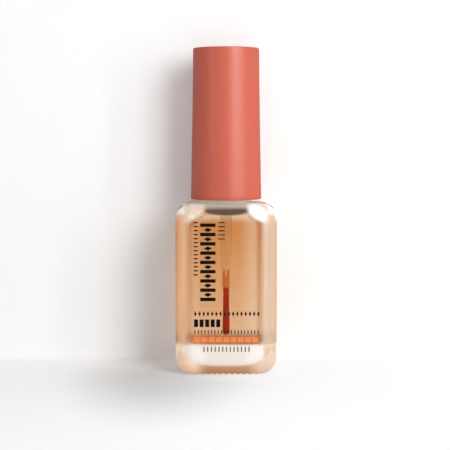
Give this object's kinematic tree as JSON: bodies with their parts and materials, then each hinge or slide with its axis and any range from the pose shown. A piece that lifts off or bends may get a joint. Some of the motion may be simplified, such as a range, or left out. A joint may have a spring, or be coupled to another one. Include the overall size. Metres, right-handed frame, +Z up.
{
  "type": "cuticle oil bottle",
  "caption": "Square clear glass bottle of cuticle oil with a tall tapered screw cap whose stem carries a nylon brush down into the oil.",
  "frame": {"origin": "middle of the base on the plane the bottle stands on", "axes": "+Z up along the bottle, cap and brush axis; -Y out of the printed front face; +X to the right seen from the front"},
  "size_m": [0.028, 0.028, 0.0904],
  "materials": {
    "glass": "clear polished flint glass",
    "oil": "clear amber liquid",
    "coral_plastic": "coral, satin moulded plastic",
    "natural_plastic": "natural moulded polypropylene",
    "stem_plastic": "translucent moulded polyethylene",
    "liner_foam": "white expanded foam",
    "anchor_metal": "bright drawn wire",
    "nylon": "dark red-brown nylon fibre, wet with oil"
  },
  "bodies": {
    "bottle": {"glass_bottle": "glass", "cuticle_oil": "oil"},
    "liner": {"seal_washer": "liner_foam"},
    "brush": {"brush_stem": "stem_plastic", "tuft_anchor": "anchor_metal", "bristle_tuft": "nylon"},
    "cap": {"inner_cap": "natural_plastic", "outer_cap": "coral_plastic"}
  },
  "joints": [
    {"name": "cap_lift", "type": "slide", "parent": "bottle", "child": "liner", "axis": [0, 0, 1], "range_m": [0, 0.06]},
    {"name": "thread_rise", "type": "slide", "parent": "liner", "child": "brush", "axis": [0, 0, 1], "range_m": [0, 0.0037]},
    {"name": "cap_unscrew", "type": "hinge", "parent": "brush", "child": "cap", "pos_m": [0, 0, 0.0626], "axis": [0, 0, 1], "range_deg": [0, 630]}
  ],
  "couplings": [
    {"joint": "cap_unscrew", "follows": "thread_rise", "rad_per_m": 2968}
  ]
}
